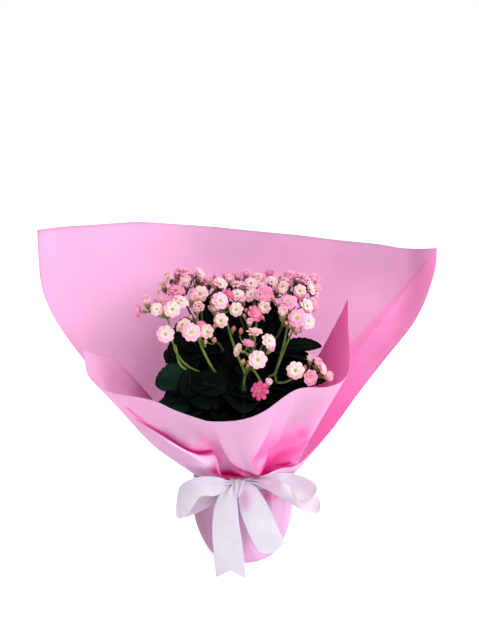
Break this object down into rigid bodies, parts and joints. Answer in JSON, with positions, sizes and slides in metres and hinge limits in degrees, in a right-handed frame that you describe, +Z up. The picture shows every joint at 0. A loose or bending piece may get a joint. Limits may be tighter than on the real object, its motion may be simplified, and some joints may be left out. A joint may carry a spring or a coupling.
{
  "type": "potted kalanchoe in gift wrap",
  "caption": "Flowering kalanchoe in a nursery pot, wrapped as a gift in tall pink paper sheets that fan out behind the blooms, tied with a white ribbon bow.",
  "frame": {"origin": "centre of the flat base, on the surface that the wrapped pot stands on", "axes": "+Z up; -Y towards the front, where the bow is; +X to the right as seen from the front"},
  "size_m": [0.4603, 0.2366, 0.3713],
  "materials": {
    "wrapping_paper": "smooth satin paper, pink",
    "ribbon": "white satin, slightly sheer",
    "pot": "plain moulded plastic, terracotta brown",
    "soil": "dark moist potting compost",
    "foliage": "fleshy dark green leaf, waxy",
    "flowers": "soft matt petal, white to pink"
  },
  "bodies": {
    "root": {"wrap_back_sheet": "wrapping_paper", "wrap_front_sheet": "wrapping_paper", "ribbon_bow": "ribbon", "nursery_pot": "pot", "soil": "soil", "leafy_shoot_1": "foliage", "leafy_shoot_2": "foliage", "leafy_shoot_3": "foliage", "leafy_shoot_4": "foliage", "leafy_shoot_5": "foliage", "leafy_shoot_6": "foliage", "flower_spray_1": "flowers", "flower_spray_2": "flowers", "flower_spray_3": "flowers", "flower_spray_4": "flowers", "flower_spray_5": "flowers", "flower_spray_6": "flowers"}
  },
  "joints": []
}
